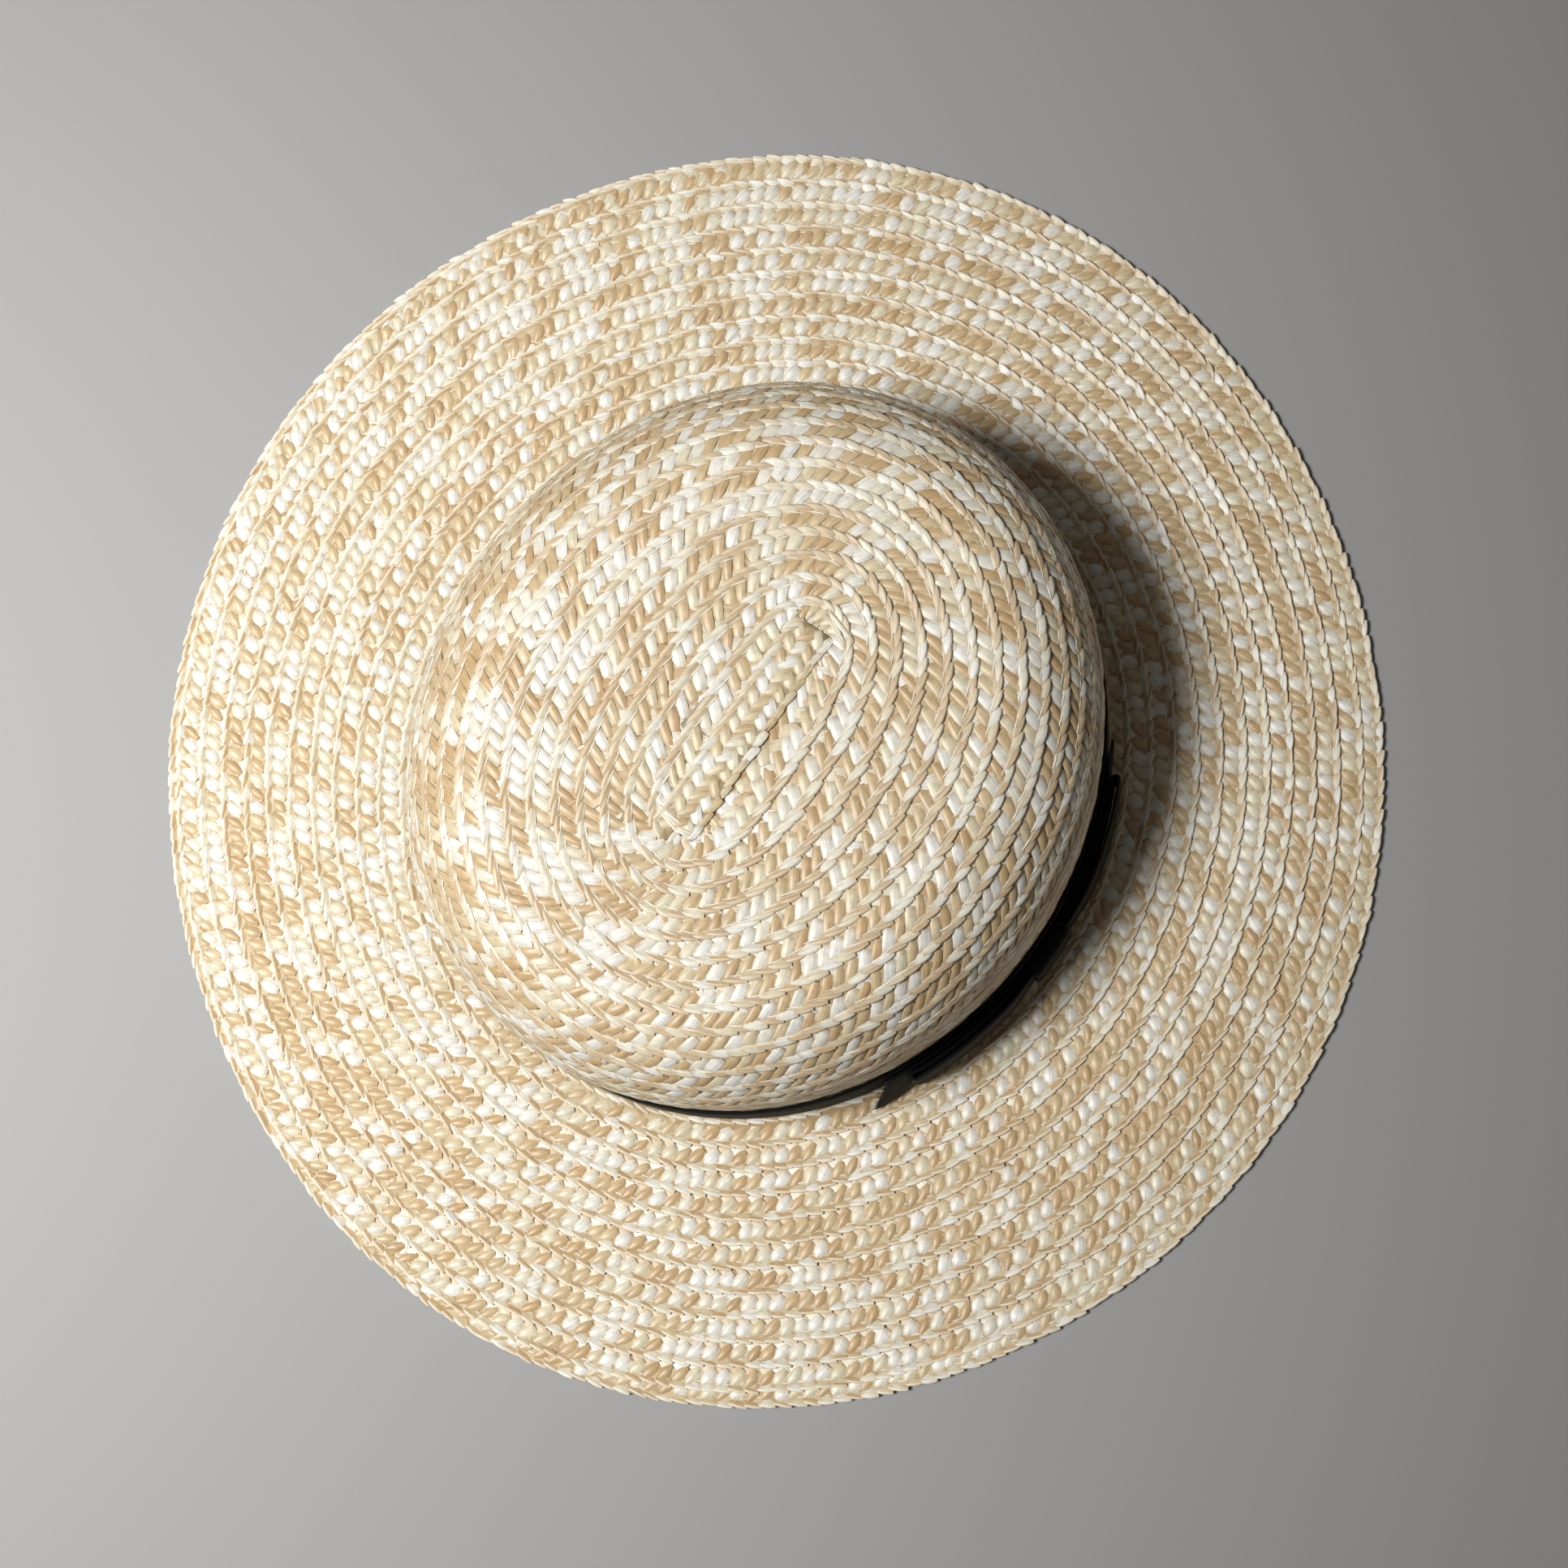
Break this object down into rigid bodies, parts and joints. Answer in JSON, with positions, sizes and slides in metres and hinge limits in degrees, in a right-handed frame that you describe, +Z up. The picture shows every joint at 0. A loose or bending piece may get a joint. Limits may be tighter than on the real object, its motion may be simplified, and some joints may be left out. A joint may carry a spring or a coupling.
{
  "type": "straw boater hat",
  "caption": "Boater hat of sewn straw plait with a rounded crown, a flat oval brim and a black ribbon band tied in a flat side bow.",
  "frame": {"origin": "under the middle of the crown, on the surface that the brim rests on", "axes": "+Z up through the crown, +X towards the wearer's left, where the bow is, +Y towards the back of the head"},
  "size_m": [0.339, 0.3474, 0.084],
  "materials": {
    "straw": "glossy natural wheat straw, pale cream to golden tan",
    "ribbon": "matt black ribbed ribbon"
  },
  "bodies": {
    "root": {"crown": "straw", "brim": "straw", "hat_band": "ribbon", "bow_tails": "ribbon", "bow_loops": "ribbon", "bow_knot": "ribbon"}
  },
  "joints": []
}
